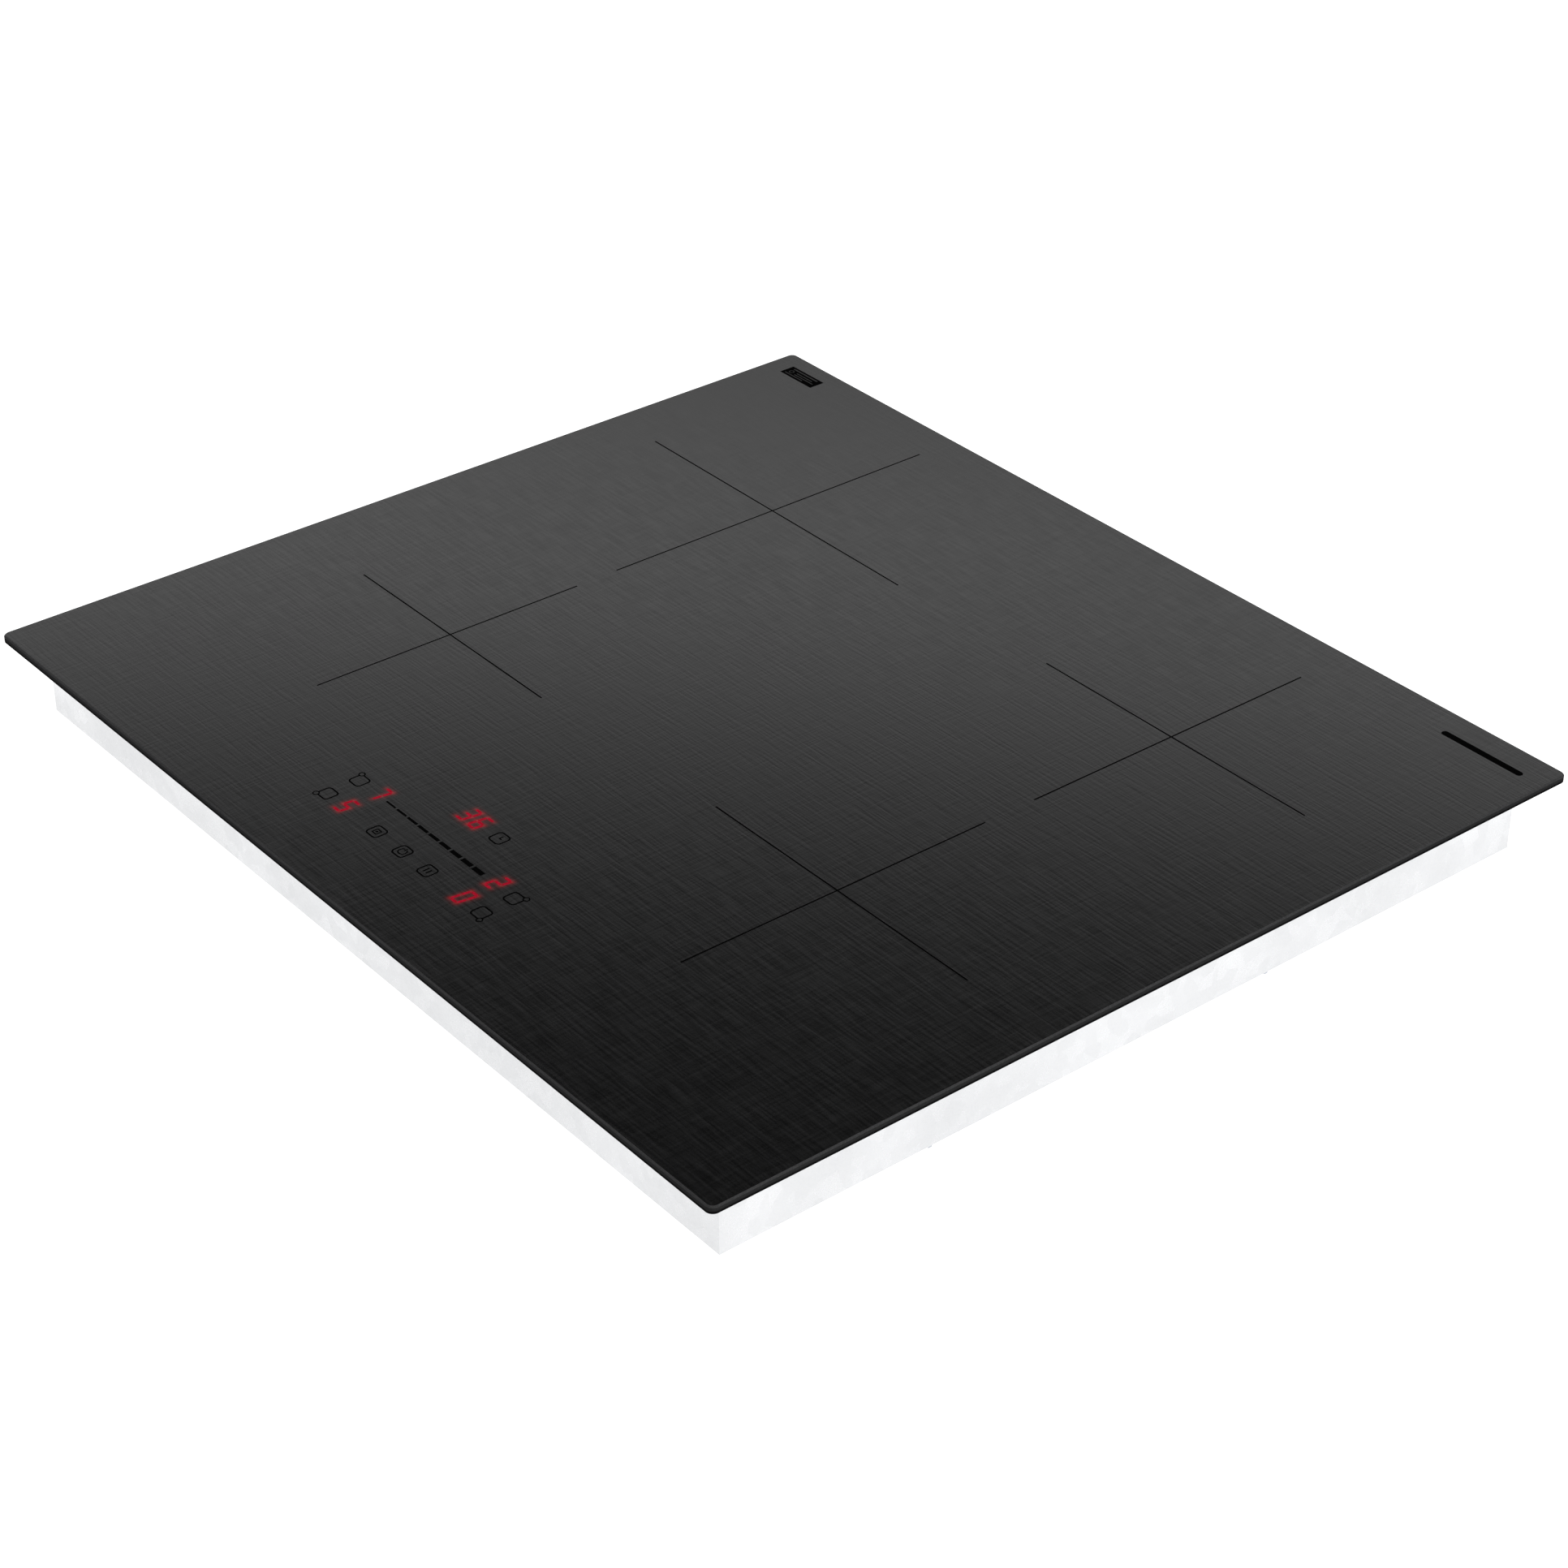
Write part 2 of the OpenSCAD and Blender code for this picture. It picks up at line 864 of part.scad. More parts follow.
module film_capacitors() {
    color("goldenrod")
        for (side = [-1, 1])
            on_side(side) {
                for (x = [110, 128, 146, 164], y = [-130, -95])
                    block([x, y, board_top], [13, 28, 19]);
                block([110, -20, board_top], [40, 30, 20]);
            }
}

module toroid_chokes() {
    color("saddlebrown") {
        for (side = [-1, 1])
            translate([side * 200, -30, board_top + 8])
                toroid(18, 8);
        translate([-50, 198, filter_board_z + board_t + 7])
            toroid(15, 7);
    }
}

module toroid(ring_r, wire_pack_r) {
    rotate_extrude()
        translate([ring_r, 0])
            circle(wire_pack_r);
}

module relays() {
    color("midnightblue")
        for (side = [-1, 1])
            on_side(side)
                for (y = [0, 20])
                    block([180, y, board_top], [28, 14, 16]);
}

module filter_board() {
    color([0.1, 0.35, 0.2])
        block([filter_x0, filter_y0, filter_board_z], [filter_w, filter_d, board_t]);
    color("royalblue")
        for (x = [0, 18])
            block([filter_x0 + 12 + x, filter_y0 + 12, filter_board_z + board_t], [12, 34, 13]);
}

module board_standoffs() {
    color("white") {
        for (side = [-1, 1], x = [board_x0 + 8, board_x1 - 8], y = [board_y0 + 8, board_y1 - 8])
            translate([side * x, y, pan_floor])
                cylinder(h = board_z - pan_floor, r = 4);
        for (x = [filter_x0 + 6, filter_x0 + filter_w - 6], y = [filter_y0 + 6, filter_y0 + filter_d - 6])
            translate([x, y, -wall_depth + sheet])
                cylinder(h = filter_board_z + wall_depth - sheet, r = 3);
    }
}

// ---- fans ----

// Square blower housing with a round chamber, open below to the grille and in front to the heatsink
module fan_housing(side) {
    outlet_w = 44;
    bearing_r = 9;
    color([0.14, 0.14, 0.15])
        translate([side * fan_x, fan_y, fan_z])
            difference() {
                union() {
                    linear_extrude(fan_h)
                        rounded_rect(fan_size, fan_size, 6);
                    cylinder(h = fan_h + bearing_h, r = bearing_r);
                }
                translate([0, 0, -1])
                    cylinder(h = fan_h + 1 - fan_roof, r = fan_bore_r);
                block([-outlet_w / 2, -fan_size, 2], [outlet_w, fan_size, fan_h - fan_roof - 2]);
                translate([0, 0, fan_h - fan_roof - 1])
                    cylinder(h = 10, r = shaft_r + shaft_clearance);
            }
}

module fan_housing_left() {
    fan_housing(-1);
}

module fan_housing_right() {
    fan_housing(1);
}

// Blower wheel: hub, roof disc and a ring of blades, hung on a shaft that runs in the housing's roof
module fan_rotor(side) {
    blades = 24;
    wheel_h = 18;
    top = fan_z + fan_h - fan_roof - 1.2;
    color([0.9, 0.9, 0.88])
        translate([side * fan_x, fan_y, top - wheel_h]) {
            translate([0, 0, wheel_h - 1.5])
                cylinder(h = 1.5, r = rotor_r);
            cylinder(h = wheel_h, r = 15);
            cylinder(h = wheel_h + fan_roof + bearing_h, r = shaft_r);
            linear_extrude(1.5)
                difference() {
                    circle(rotor_r);
                    circle(rotor_r - 2);
                }
            for (i = [0:blades - 1])
                rotate(i * 360 / blades)
                    translate([rotor_r - 6, 0, 0])
                        rotate(35)
                            block([-7, -0.5, 0], [12, 1, wheel_h]);
        }
}

module fan_rotor_left() {
    fan_rotor(-1);
}

module fan_rotor_right() {
    fan_rotor(1);
}

// ---- controls ----

module control_carrier() {
    wall = 1.5;
    color([0.1, 0.1, 0.11])
        translate([-control_w / 2, control_y - control_d / 2, control_z]) {
            difference() {
                cube([control_w, control_d, control_h]);
                block([wall, wall, wall], [control_w - 2 * wall, control_d - 2 * wall, control_h]);
            }
            for (x = [20, control_w - 20], y = [14, control_d - 14])
                translate([x, y, 0])
                    cylinder(h = control_board_lift, r = 4);
            for (x = [20, control_w - 20])
                translate([x, 30, pan_floor - control_z])
                    cylinder(h = control_z - pan_floor + 1, r = 4);
        }
}

// Circuit board with the digit displays and the touch pads that reach up to the glass
module control_board() {
    gap = 2.5;
    pad_top = seal_h - control_board_z - board_t;
    color([0.08, 0.3, 0.18])
        block([gap - control_w / 2, control_y - control_d / 2 + gap, control_board_z],
            [control_w - 2 * gap, control_d - 2 * gap, board_t]);
    translate([0, 0, control_board_z + board_t]) {
        color([0.7, 0.1, 0.08])
            for (p = displays)
                block([p[0] - display_size[0] / 2, p[1] - display_size[1] / 2, 0], display_size);
        color([0.2, 0.2, 0.2])
            for (p = touch_pads)
                translate([p[0], p[1], 0])
                    cylinder(h = pad_top, r = 4.5);
        color([0.2, 0.2, 0.2])
            for (i = [-4:4])
                translate([i * slider_pitch, zone_key_back_y, 0])
                    cylinder(h = pad_top, r = 3);
    }
}

glass_plate();
worktop_seal();
glass_bond_bead();
front_wall();
back_wall();
left_wall();
right_wall();
bottom_cover();
cover_screws();
clamp_front_left();
clamp_back_left();
clamp_front_right();
clamp_back_right();
clamp_screws();
clamp_weld_nuts();
cable_grommet();
terminal_block();
terminal_screws();
terminal_lid();
lid_hinge_pin();
coil_plate_left();
coil_plate_right();
coil_springs();
sensor_springs();
winding_back_left();
winding_front_left();
winding_back_right();
winding_front_right();
former_back_left();
former_front_left();
former_back_right();
former_front_right();
ferrites_back_left();
ferrites_front_left();
ferrites_back_right();
ferrites_front_right();
mica_back_left();
mica_front_left();
mica_back_right();
mica_front_right();
sensor_back_left();
sensor_front_left();
sensor_back_right();
sensor_front_right();
power_board_left();
power_board_right();
heatsink_left();
heatsink_right();
power_devices();
film_capacitors();
toroid_chokes();
relays();
filter_board();
board_standoffs();
fan_housing_left();
fan_housing_right();
fan_rotor_left();
fan_rotor_right();
control_carrier();
control_board();
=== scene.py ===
"""Looks of a built-in induction hob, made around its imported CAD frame.

Lengths are in metres, apart from the places and sizes of the printed marks and displays, which are
in millimetres from the middle of the plate and become metres in prism, stroke and make_displays.
"""
import json
import math

import bmesh
import bpy
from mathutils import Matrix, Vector


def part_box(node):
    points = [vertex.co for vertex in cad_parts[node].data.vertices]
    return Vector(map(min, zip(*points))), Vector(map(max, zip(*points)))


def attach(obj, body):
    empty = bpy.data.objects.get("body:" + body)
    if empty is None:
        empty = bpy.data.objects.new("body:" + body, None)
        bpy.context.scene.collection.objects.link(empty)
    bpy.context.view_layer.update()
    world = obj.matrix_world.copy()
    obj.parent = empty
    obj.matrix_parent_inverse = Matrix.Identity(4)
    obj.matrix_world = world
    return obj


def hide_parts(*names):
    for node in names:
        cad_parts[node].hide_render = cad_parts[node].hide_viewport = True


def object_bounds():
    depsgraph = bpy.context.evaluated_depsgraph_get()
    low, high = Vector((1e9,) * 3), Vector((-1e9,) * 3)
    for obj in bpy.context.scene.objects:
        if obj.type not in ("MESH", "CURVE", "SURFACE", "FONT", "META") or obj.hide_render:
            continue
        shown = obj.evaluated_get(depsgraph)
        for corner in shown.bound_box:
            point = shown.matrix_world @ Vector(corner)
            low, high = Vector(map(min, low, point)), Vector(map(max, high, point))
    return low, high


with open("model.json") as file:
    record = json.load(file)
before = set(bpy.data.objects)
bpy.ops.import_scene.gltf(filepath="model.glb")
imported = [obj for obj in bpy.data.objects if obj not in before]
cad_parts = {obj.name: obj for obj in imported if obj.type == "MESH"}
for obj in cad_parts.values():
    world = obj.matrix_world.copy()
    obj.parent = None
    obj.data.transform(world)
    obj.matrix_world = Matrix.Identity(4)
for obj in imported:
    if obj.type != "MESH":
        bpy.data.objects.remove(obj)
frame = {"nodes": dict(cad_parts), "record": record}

CAD_LOW, CAD_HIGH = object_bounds()
MM = 0.001
GLASS_LOW, GLASS_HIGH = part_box("glass_plate")
GLASS_TOP = GLASS_HIGH.z
HALF_W = GLASS_HIGH.x
HALF_D = GLASS_HIGH.y

# ---- camera, light and floor ----

CAMERA_AZIMUTH = math.radians(51.14)
CAMERA_ELEVATION = math.radians(32.67)
CAMERA_DISTANCE = 1.71387
CAMERA_TARGET = Vector((66.3 * MM, -38.0 * MM, GLASS_TOP))
CAMERA_LENS = 82.49
CAMERA_SENSOR = 36.0


def make_camera():
    data = bpy.data.cameras.new("camera")
    data.lens = CAMERA_LENS
    data.sensor_width = CAMERA_SENSOR
    data.clip_start = 0.05
    data.clip_end = 60.0
    camera = bpy.data.objects.new("camera", data)
    bpy.context.scene.collection.objects.link(camera)
    back = Vector((
        math.sin(CAMERA_AZIMUTH) * math.cos(CAMERA_ELEVATION),
        -math.cos(CAMERA_AZIMUTH) * math.cos(CAMERA_ELEVATION),
        math.sin(CAMERA_ELEVATION),
    ))
    camera.location = CAMERA_TARGET + back * CAMERA_DISTANCE
    camera.rotation_mode = "QUATERNION"
    camera.rotation_quaternion = (-back).to_track_quat("-Z", "Y")
    bpy.context.scene.camera = camera


# Radiance of the studio by elevation in degrees: white round the horizon, a soft light band that the
# glass mirrors, and a dark ceiling. The band leans down a little to one side.
SKY = [
    (5.0, 1.20), (12.0, 1.05), (17.0, 0.65), (24.0, 0.52), (26.0, 0.66), (27.0, 1.02), (28.0, 1.27),
    (29.0, 1.45), (30.0, 1.24), (31.0, 0.90), (32.0, 0.645), (33.0, 0.405), (34.0, 0.245), (35.0, 0.150),
    (36.0, 0.102), (37.0, 0.077), (38.0, 0.062), (39.5, 0.052), (44.0, 0.033), (50.0, 0.025),
]
SKY_PEAK = 1.5
SKY_LEAN = math.radians(4.0)
SUN_STRENGTH = 1.8
SUN_ANGLE = math.radians(30.0)
# Leans to the camera's right, so that its mirror image shows neither in the main view nor from above
SUN_LEAN = math.radians(38.0)


def leaning(angle):
    """Direction that leans from the vertical to the camera's right."""
    aside = math.sin(angle)
    return Vector((aside * math.cos(CAMERA_AZIMUTH), aside * math.sin(CAMERA_AZIMUTH), math.cos(angle)))


def make_light():
    scene = bpy.context.scene
    world = bpy.data.worlds.new("studio")
    scene.world = world
    world.use_nodes = True
    tree = world.node_tree
    tree.nodes.clear()
    direction = tree.nodes.new("ShaderNodeTexCoord")
    height = tree.nodes.new("ShaderNodeVectorMath")
    height.operation = "DOT_PRODUCT"
    tree.links.new(direction.outputs["Generated"], height.inputs[0])
    height.inputs[1].default_value = leaning(-SKY_LEAN)
    angle = tree.nodes.new("ShaderNodeMath")
    angle.operation = "ARCSINE"
    tree.links.new(height.outputs["Value"], angle.inputs[0])
    curve = tree.nodes.new("ShaderNodeFloatCurve")
    points = curve.mapping.curves[0].points
    share = tree.nodes.new("ShaderNodeMapRange")
    first, last = SKY[0][0], SKY[-1][0]
    share.inputs["From Min"].default_value = math.radians(first)
    share.inputs["From Max"].default_value = math.radians(last)
    tree.links.new(angle.outputs[0], share.inputs["Value"])
    tree.links.new(share.outputs[0], curve.inputs["Value"])
    for i, (elevation, radiance) in enumerate(SKY):
        at = ((elevation - first) / (last - first), radiance / SKY_PEAK)
        if i == 0:
            points[0].location = at
        elif i == len(SKY) - 1:
            points[1].location = at
        else:
            points.new(*at)
    for p in points:
        p.handle_type = "VECTOR"
    curve.mapping.update()
    level = tree.nodes.new("ShaderNodeMath")
    level.operation = "MULTIPLY"
    level.inputs[1].default_value = SKY_PEAK
    tree.links.new(curve.outputs[0], level.inputs[0])
    background = tree.nodes.new("ShaderNodeBackground")
    tree.links.new(level.outputs[0], background.inputs["Strength"])
    output = tree.nodes.new("ShaderNodeOutputWorld")
    tree.links.new(background.outputs[0], output.inputs["Surface"])

    sun = bpy.data.lights.new("soft_lamp", "SUN")
    sun.energy = SUN_STRENGTH
    sun.angle = SUN_ANGLE
    lamp = bpy.data.objects.new("soft_lamp", sun)
    lamp.rotation_euler = leaning(SUN_LEAN).to_track_quat("Z", "Y").to_euler()
    scene.collection.objects.link(lamp)
    scene.view_settings.view_transform = "Standard"
    scene.view_settings.look = "None"


FLOOR_RADIUS = 14.0
FLOOR_GAP = 0.0002
FLOOR_TONE = 0.25
# The floor is a light table: it glows, so that it stays white without shadows
FLOOR_GLOW = 1.02


def make_floor():
    bm = bmesh.new()
    bmesh.ops.create_circle(bm, cap_ends=True, radius=FLOOR_RADIUS, segments=128)
    mesh = bpy.data.meshes.new("floor")
    bm.to_mesh(mesh)
    bm.free()
    floor = bpy.data.objects.new("floor", mesh)
    floor.location.z = CAD_LOW.z - FLOOR_GAP
    bpy.context.scene.collection.objects.link(floor)
    material, tree, shader = new_material("pale_floor")
    shader.inputs["Base Color"].default_value = (FLOOR_TONE, FLOOR_TONE, FLOOR_TONE, 1.0)
    shader.inputs["Roughness"].default_value = 0.8
    shader.inputs["Specular IOR Level"].default_value = 0.1
    shader.inputs["Emission Color"].default_value = (1.0, 1.0, 1.0, 1.0)
    shader.inputs["Emission Strength"].default_value = FLOOR_GLOW
    mesh.materials.append(material)


# ---- material helpers ----

def new_material(name):
    material = bpy.data.materials.new(name)
    material.use_nodes = True
    tree = material.node_tree
    return material, tree, tree.nodes["Principled BSDF"]


def add(tree, kind, values=None, **settings):
    """Adds a node; values maps input names or places to numbers or to sockets to link."""
    made = tree.nodes.new(kind)
    for key, value in settings.items():
        setattr(made, key, value)
    for key, value in (values or {}).items():
        if isinstance(value, bpy.types.NodeSocket):
            tree.links.new(value, made.inputs[key])
        else:
            made.inputs[key].default_value = value
    return made


def noise(tree, scale, detail=2.0, stretch=(1.0, 1.0, 1.0), roughness=0.5):
    """Noise from 0 to 1 over the piece's own coordinates, scale in features per metre."""
    place = add(tree, "ShaderNodeTexCoord")
    mapped = add(tree, "ShaderNodeMapping", {"Vector": place.outputs["Object"], "Scale": stretch})
    made = add(tree, "ShaderNodeTexNoise", {
        "Vector": mapped.outputs[0], "Scale": scale, "Detail": detail, "Roughness": roughness})
    return made.outputs["Fac"]


def remap(tree, value, low, high, source=(0.3, 0.7)):
    """Value from low to high as the given one crosses the source range, held at its ends."""
    made = add(tree, "ShaderNodeMapRange", {
        "Value": value, "From Min": source[0], "From Max": source[1], "To Min": low, "To Max": high})
    return made.outputs[0]


def mixed(tree, fac, a, b):
    """Colour from a to b as fac goes from 0 to 1."""
    made = add(tree, "ShaderNodeMix", {0: fac}, data_type="RGBA")
    for socket, colour in ((6, a), (7, b)):
        if isinstance(colour, bpy.types.NodeSocket):
            tree.links.new(colour, made.inputs[socket])
        else:
            made.inputs[socket].default_value = (*colour, 1.0)
    return made.outputs[2]


def maths(tree, operation, a, b=0.0):
    return add(tree, "ShaderNodeMath", {0: a, 1: b}, operation=operation).outputs[0]


def bump(tree, shader, height, depth):
    made = add(tree, "ShaderNodeBump", {"Height": height, "Distance": depth, "Strength": 1.0})
    tree.links.new(made.outputs[0], shader.inputs["Normal"])


def shade(colour, factor):
    return tuple(min(1.0, c * factor) for c in colour)


def worn(tree, colour, edge_colour, amount):
    """Lightens convex edges a little, as handling does."""
    pointiness = add(tree, "ShaderNodeNewGeometry").outputs["Pointiness"]
    edge = remap(tree, pointiness, 0.0, amount, (0.51, 0.6))
    return mixed(tree, edge, colour, edge_colour)


def metal(name, colour, rough=0.35, grain=(1.0, 1.0, 1.0), grain_scale=900.0, spangle=0.0, wear=0.3):
    """Bare or zinc-coated metal with a grain, cloudy tarnish and, for hot-dip zinc, spangles."""
    material, tree, shader = new_material(name)
    cloud = noise(tree, 22.0, 4.0)
    fine = noise(tree, grain_scale, 3.0, grain)
    tint = mixed(tree, remap(tree, cloud, 0.0, 1.0), shade(colour, 0.9), shade(colour, 1.06))
    rough_map = remap(tree, fine, rough - 0.08, rough + 0.1)
    if spangle:
        place = add(tree, "ShaderNodeTexCoord")
        cells = add(tree, "ShaderNodeTexVoronoi", {"Vector": place.outputs["Object"], "Scale": spangle})
        patch = add(tree, "ShaderNodeSeparateColor", {0: cells.outputs["Color"]}).outputs[0]
        tint = mixed(tree, remap(tree, patch, 0.0, 0.35, (0.0, 1.0)), tint, shade(colour, 0.88))
        rough_map = maths(tree, "ADD", rough_map, remap(tree, patch, -0.05, 0.06, (0.0, 1.0)))
    tree.links.new(worn(tree, tint, shade(colour, 1.15), wear), shader.inputs["Base Color"])
    tree.links.new(rough_map, shader.inputs["Roughness"])
    shader.inputs["Metallic"].default_value = 1.0
    bump(tree, shader, fine, 0.00002)
    return material


def plastic(name, colour, rough=0.5, grain_scale=2500.0, depth=0.00003, specular=0.5, wear=0.4, coat=0.0):
    """Moulded plastic, rubber or enamel with an eroded texture and faint clouding."""
    material, tree, shader = new_material(name)
    cloud = noise(tree, 35.0, 3.0)
    grain = noise(tree, grain_scale, 2.0)
    tint = mixed(tree, remap(tree, cloud, 0.0, 1.0), shade(colour, 0.88), shade(colour, 1.08))
    scuffed = tuple(c + (0.5 - c) * 0.25 for c in colour)
    tree.links.new(worn(tree, tint, scuffed, wear), shader.inputs["Base Color"])
    tree.links.new(remap(tree, grain, rough - 0.08, rough + 0.1), shader.inputs["Roughness"])
    shader.inputs["Specular IOR Level"].default_value = specular
    if coat:
        shader.inputs["Coat Weight"].default_value = coat
        shader.inputs["Coat Roughness"].default_value = 0.15
    bump(tree, shader, grain, depth)
    return material


def foam(name, colour):
    """Closed-cell foam tape: small round pores, darkened with painted shade."""
    material, tree, shader = new_material(name)
    place = add(tree, "ShaderNodeTexCoord")
    cells = add(tree, "ShaderNodeTexVoronoi", {"Vector": place.outputs["Object"], "Scale": 1600.0})
    shaded_pore = remap(tree, cells.outputs["Distance"], 0.0, 1.0, (0.1, 0.6))
    # Painted shade: the pores are darker than the cell walls round them
    tree.links.new(mixed(tree, shaded_pore, shade(colour, 0.5), shade(colour, 1.3)), shader.inputs["Base Color"])
    tree.links.new(remap(tree, noise(tree, 300.0), 0.82, 0.95), shader.inputs["Roughness"])
    shader.inputs["Specular IOR Level"].default_value = 0.2
    bump(tree, shader, shaded_pore, 0.0002)
    return material


def circuit(name, colour):
    """Solder mask over copper: a lattice of tracks that shows lighter, with tinned pads."""
    material, tree, shader = new_material(name)
    place = add(tree, "ShaderNodeTexCoord")
    tracks = add(tree, "ShaderNodeTexBrick", {
        "Vector": place.outputs["Object"], "Scale": 60.0, "Mortar Size": 0.035, "Mortar Smooth": 0.1,
        "Brick Width": 0.9, "Row Height": 0.32}, offset=0.37)
    dots = add(tree, "ShaderNodeTexVoronoi", {
        "Vector": place.outputs["Object"], "Scale": 190.0, "Randomness": 0.75})
    pad = remap(tree, dots.outputs["Distance"], 1.0, 0.0, (0.16, 0.2))
    cloud = remap(tree, noise(tree, 60.0, 3.0), 0.0, 1.0)
    mask = mixed(tree, cloud, shade(colour, 0.85), shade(colour, 1.15))
    lit = mixed(tree, tracks.outputs["Fac"], mask, shade(colour, 1.9))
    tree.links.new(mixed(tree, pad, lit, (0.62, 0.62, 0.6)), shader.inputs["Base Color"])
    tree.links.new(remap(tree, pad, 0.38, 0.25, (0.0, 1.0)), shader.inputs["Roughness"])
    tree.links.new(pad, shader.inputs["Metallic"])
    bump(tree, shader, maths(tree, "ADD", tracks.outputs["Fac"], pad), 0.00004)
    return material


def stranded(name, colour, rough=0.3):
    """Enamelled wire wound in strands: slanting fine ridges, with painted shade darkening the grooves
    between them.
    """
    material, tree, shader = new_material(name)
    place = add(tree, "ShaderNodeTexCoord")
    ridges = add(tree, "ShaderNodeTexWave", {
        "Vector": place.outputs["Object"], "Scale": 420.0, "Distortion": 2.5, "Detail": 2.0,
        "Detail Scale": 3.0}, bands_direction="DIAGONAL")
    shaded_groove = remap(tree, ridges.outputs["Fac"], 0.0, 1.0, (0.1, 0.8))
    cloud = remap(tree, noise(tree, 50.0, 3.0), 0.0, 1.0)
    tint = mixed(tree, cloud, shade(colour, 0.85), shade(colour, 1.15))
    # Painted shade: the grooves between strands are darker than the ridges
    tree.links.new(mixed(tree, shaded_groove, shade(colour, 0.35), tint), shader.inputs["Base Color"])
    tree.links.new(remap(tree, shaded_groove, rough + 0.25, rough, (0.0, 1.0)), shader.inputs["Roughness"])
    shader.inputs["Metallic"].default_value = 0.75
    shader.inputs["Coat Weight"].default_value = 0.5
    shader.inputs["Coat Roughness"].default_value = 0.2
    bump(tree, shader, ridges.outputs["Fac"], 0.0001)
    return material


def flaky(name, colour):
    """Pressed mica: overlapping pale flakes."""
    material, tree, shader = new_material(name)
    place = add(tree, "ShaderNodeTexCoord")
    flakes = add(tree, "ShaderNodeTexVoronoi", {"Vector": place.outputs["Object"], "Scale": 260.0})
    tone = add(tree, "ShaderNodeSeparateColor", {0: flakes.outputs["Color"]}).outputs[0]
    tint = mixed(tree, tone, shade(colour, 0.75), shade(colour, 1.2))
    tree.links.new(tint, shader.inputs["Base Color"])
    tree.links.new(remap(tree, tone, 0.28, 0.5, (0.0, 1.0)), shader.inputs["Roughness"])
    shader.inputs["Sheen Weight"].default_value = 0.2
    bump(tree, shader, tone, 0.00005)
    return material


# ---- glass ----

# Noise features per metre along and across a thread, and the share of the threads along Y
HATCH_RUN = 42.0
HATCH_PITCH = 620.0
HATCH_CROSS = 0.35
HATCH_SPREAD = (0.35, 0.65)
GLASS_COLOUR = (0.0025, 0.0025, 0.0026)
GLASS_ROUGH = 0.15
GLASS_ROUGH_THREAD = 0.035
GLASS_ROUGH_CLOUD = 0.006
GLASS_BUMP = 0.000045
HALO_COLOUR = (0.40, 0.003, 0.008)
BLACK = (0.0, 0.0, 0.0)


def hatch(tree):
    """Fine threads along both directions of the plate, like linen, from 0 to 1."""
    along_x = noise(tree, 1.0, 1.5, (HATCH_RUN, HATCH_PITCH, 1.0), 0.6)
    along_y = noise(tree, 1.0, 1.5, (HATCH_PITCH, HATCH_RUN, 1.0), 0.6)
    return maths(tree, "ADD", maths(tree, "MULTIPLY", along_x, 1.0 - HATCH_CROSS),
                 maths(tree, "MULTIPLY", along_y, HATCH_CROSS))


def matt_glass(name, glow=False):
    """Black glass-ceramic with a matt, finely hatched surface; glow adds the displays' red light."""
    material, tree, shader = new_material(name)
    threads = hatch(tree)
    cloud = noise(tree, 5.0, 4.0)
    tint = mixed(tree, remap(tree, threads, 0.0, 1.0, HATCH_SPREAD),
                 shade(GLASS_COLOUR, 0.5), shade(GLASS_COLOUR, 1.5))
    tree.links.new(tint, shader.inputs["Base Color"])
    thread_rough = remap(
        tree, threads, GLASS_ROUGH - GLASS_ROUGH_THREAD, GLASS_ROUGH + GLASS_ROUGH_THREAD, HATCH_SPREAD)
    rough = maths(tree, "ADD", thread_rough, remap(tree, cloud, -GLASS_ROUGH_CLOUD, GLASS_ROUGH_CLOUD))
    tree.links.new(rough, shader.inputs["Roughness"])
    bump(tree, shader, threads, GLASS_BUMP)
    if glow:
        light = add(tree, "ShaderNodeAttribute", attribute_name="glow").outputs["Fac"]
        tree.links.new(mixed(tree, light, BLACK, HALO_COLOUR), shader.inputs["Emission Color"])
        shader.inputs["Emission Strength"].default_value = 1.0
    return material


# Rim colours: a painted highlight for the upper arris, the side's own tone, painted shade for the foot, and
# specks
RIM_ARRIS_HIGHLIGHT = (0.045, 0.045, 0.046)
RIM_SIDE = (0.024, 0.024, 0.0245)
RIM_FOOT_SHADE = (0.001, 0.001, 0.001)
RIM_SPECK = (0.006, 0.006, 0.006)


def ground_edge(name):
    """The plate's ground rim, with grinding marks: a painted highlight along the upper arris, a dull side,
    and painted shade darkening it to black towards the foot.
    """
    material, tree, shader = new_material(name)
    marks = noise(tree, 1.0, 3.0, (260.0, 260.0, 2600.0))
    speck = noise(tree, 1500.0, 2.0)
    place = add(tree, "ShaderNodeTexCoord")
    height = add(tree, "ShaderNodeSeparateXYZ", {0: place.outputs["Object"]}).outputs["Z"]
    # Painted highlight: the colour is lighter along the upper arris
    arris_highlight = remap(tree, height, 0.0, 1.0, (GLASS_TOP - ARRIS - 0.2 * MM, GLASS_TOP - ARRIS + 0.1 * MM))
    # Painted shade: the colour darkens to black towards the foot
    depth = remap(tree, height, 0.0, 1.0, (GLASS_LOW.z + 0.8 * MM, GLASS_LOW.z + 2.0 * MM))
    tone = mixed(tree, arris_highlight, mixed(tree, depth, RIM_FOOT_SHADE, RIM_SIDE), RIM_ARRIS_HIGHLIGHT)
    tree.links.new(mixed(tree, remap(tree, speck, 0.0, 0.4), tone, RIM_SPECK), shader.inputs["Base Color"])
    tree.links.new(remap(tree, marks, 0.48, 0.66), shader.inputs["Roughness"])
    shader.inputs["Specular IOR Level"].default_value = 0.0
    bump(tree, shader, marks, 0.00002)
    return material


